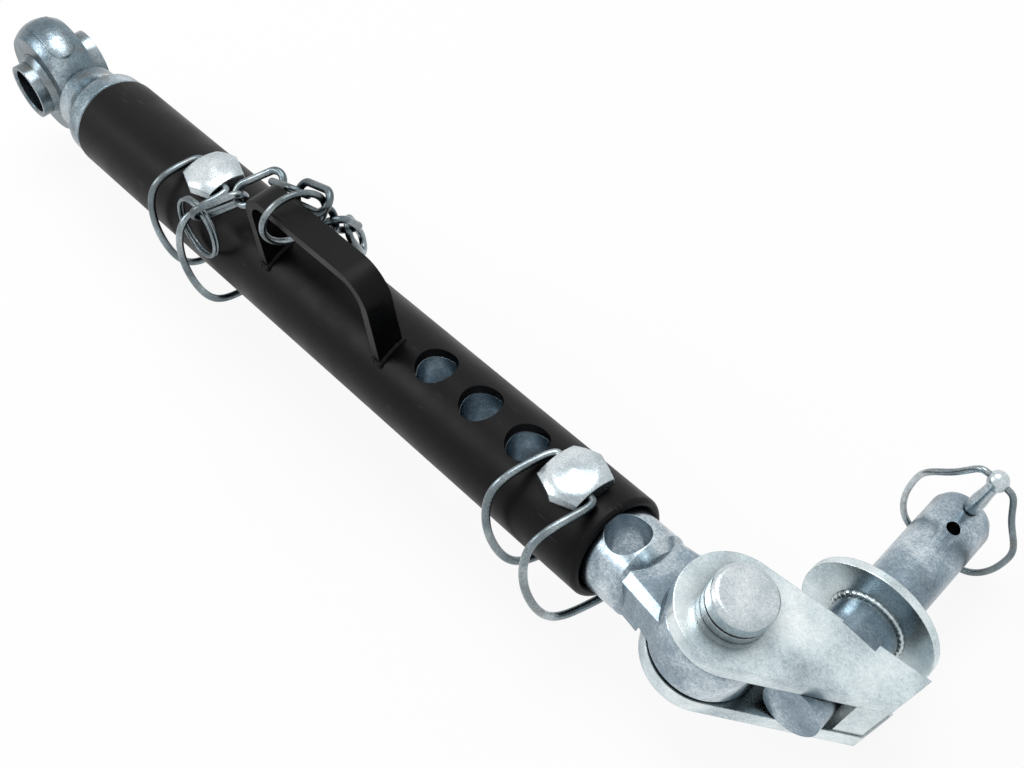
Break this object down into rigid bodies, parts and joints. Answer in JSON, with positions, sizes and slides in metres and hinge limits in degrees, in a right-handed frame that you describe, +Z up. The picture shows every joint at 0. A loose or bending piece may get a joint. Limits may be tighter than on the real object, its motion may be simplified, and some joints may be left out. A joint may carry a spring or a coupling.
{
  "type": "tractor top link",
  "caption": "Telescopic pin-locked tractor link with a swivel ball eye, adjusting holes, chained bail pins, a carrying handle and a cranked clevis with a flanged stud.",
  "frame": {"origin": "centre of the swivel ball's bore", "axes": "+X along the tube from the swivel ball eye towards the clevis, +Y along the ball's bore at rest, +Z up along the two locking pins, towards the carrying handle"},
  "size_m": [0.6242, 0.1768, 0.1326],
  "materials": {
    "black_paint": "satin black enamel, scuffed",
    "zinc_forging": "zinc plated forging, slightly rough",
    "zinc_bar": "zinc plated turned steel",
    "zinc_pin": "bright zinc plate",
    "zinc_plate": "zinc plated flame-cut plate",
    "turned_ball": "zinc plated turned ball",
    "spring_wire": "zinc plated drawn wire",
    "chain_steel": "zinc plated welded chain, a little dull"
  },
  "bodies": {
    "link": {"outer_tube": "black_paint", "carrying_handle": "black_paint", "eye_forging": "zinc_forging", "inner_bar": "zinc_bar", "tether_ring_1": "spring_wire", "tether_ring_2": "chain_steel", "chain_link_1": "chain_steel", "chain_link_2": "chain_steel", "chain_link_3": "chain_steel", "chain_link_4": "chain_steel", "chain_link_5": "chain_steel", "chain_link_6": "chain_steel", "chain_link_7": "chain_steel"},
    "ball": {"swivel_ball": "turned_ball"},
    "clevis": {"clevis_plate_upper": "zinc_plate", "clevis_plate_lower": "zinc_plate", "clevis_web": "zinc_plate", "clevis_pin": "zinc_pin", "clevis_pin_washer": "zinc_plate", "clevis_pin_cotter": "spring_wire", "link_stud": "zinc_bar", "stud_flange": "zinc_plate", "linch_pin": "zinc_pin"},
    "rear_pin": {"lock_pin_1": "zinc_pin"},
    "front_pin": {"lock_pin_2": "zinc_pin"},
    "rear_bail": {"bail_1": "spring_wire"},
    "front_bail": {"bail_2": "spring_wire"},
    "linch_loop": {"linch_ring": "spring_wire"}
  },
  "joints": [
    {"name": "ball_swivel", "type": "hinge", "parent": "link", "child": "ball", "pos_m": [0, 0, 0], "axis": [0, 0, 1], "range_deg": [-10, 10]},
    {"name": "clevis_pivot", "type": "hinge", "parent": "link", "child": "clevis", "pos_m": [0.5215, 0, 0], "axis": [0.342, 0.1632, 0.9254], "range_deg": [-60, 50]},
    {"name": "rear_pin_lift", "type": "slide", "parent": "link", "child": "rear_pin", "axis": [0, 0, 1], "range_m": [0, 0.002]},
    {"name": "front_pin_lift", "type": "slide", "parent": "link", "child": "front_pin", "axis": [0, 0, 1], "range_m": [0, 0.004]},
    {"name": "rear_bail_swing", "type": "hinge", "parent": "rear_pin", "child": "rear_bail", "pos_m": [0.1697, 0, 0.0282], "axis": [-0.9903, 0.1392, 0], "range_deg": [0, 12]},
    {"name": "front_bail_swing", "type": "hinge", "parent": "front_pin", "child": "front_bail", "pos_m": [0.4415, 0, 0.0282], "axis": [-0.9744, 0.225, 0], "range_deg": [0, 150]},
    {"name": "linch_loop_swing", "type": "hinge", "parent": "clevis", "child": "linch_loop", "pos_m": [0.55349, 0.13086, 0.00638], "axis": [0.926, 0.1091, -0.3615], "range_deg": [0, 150]}
  ]
}
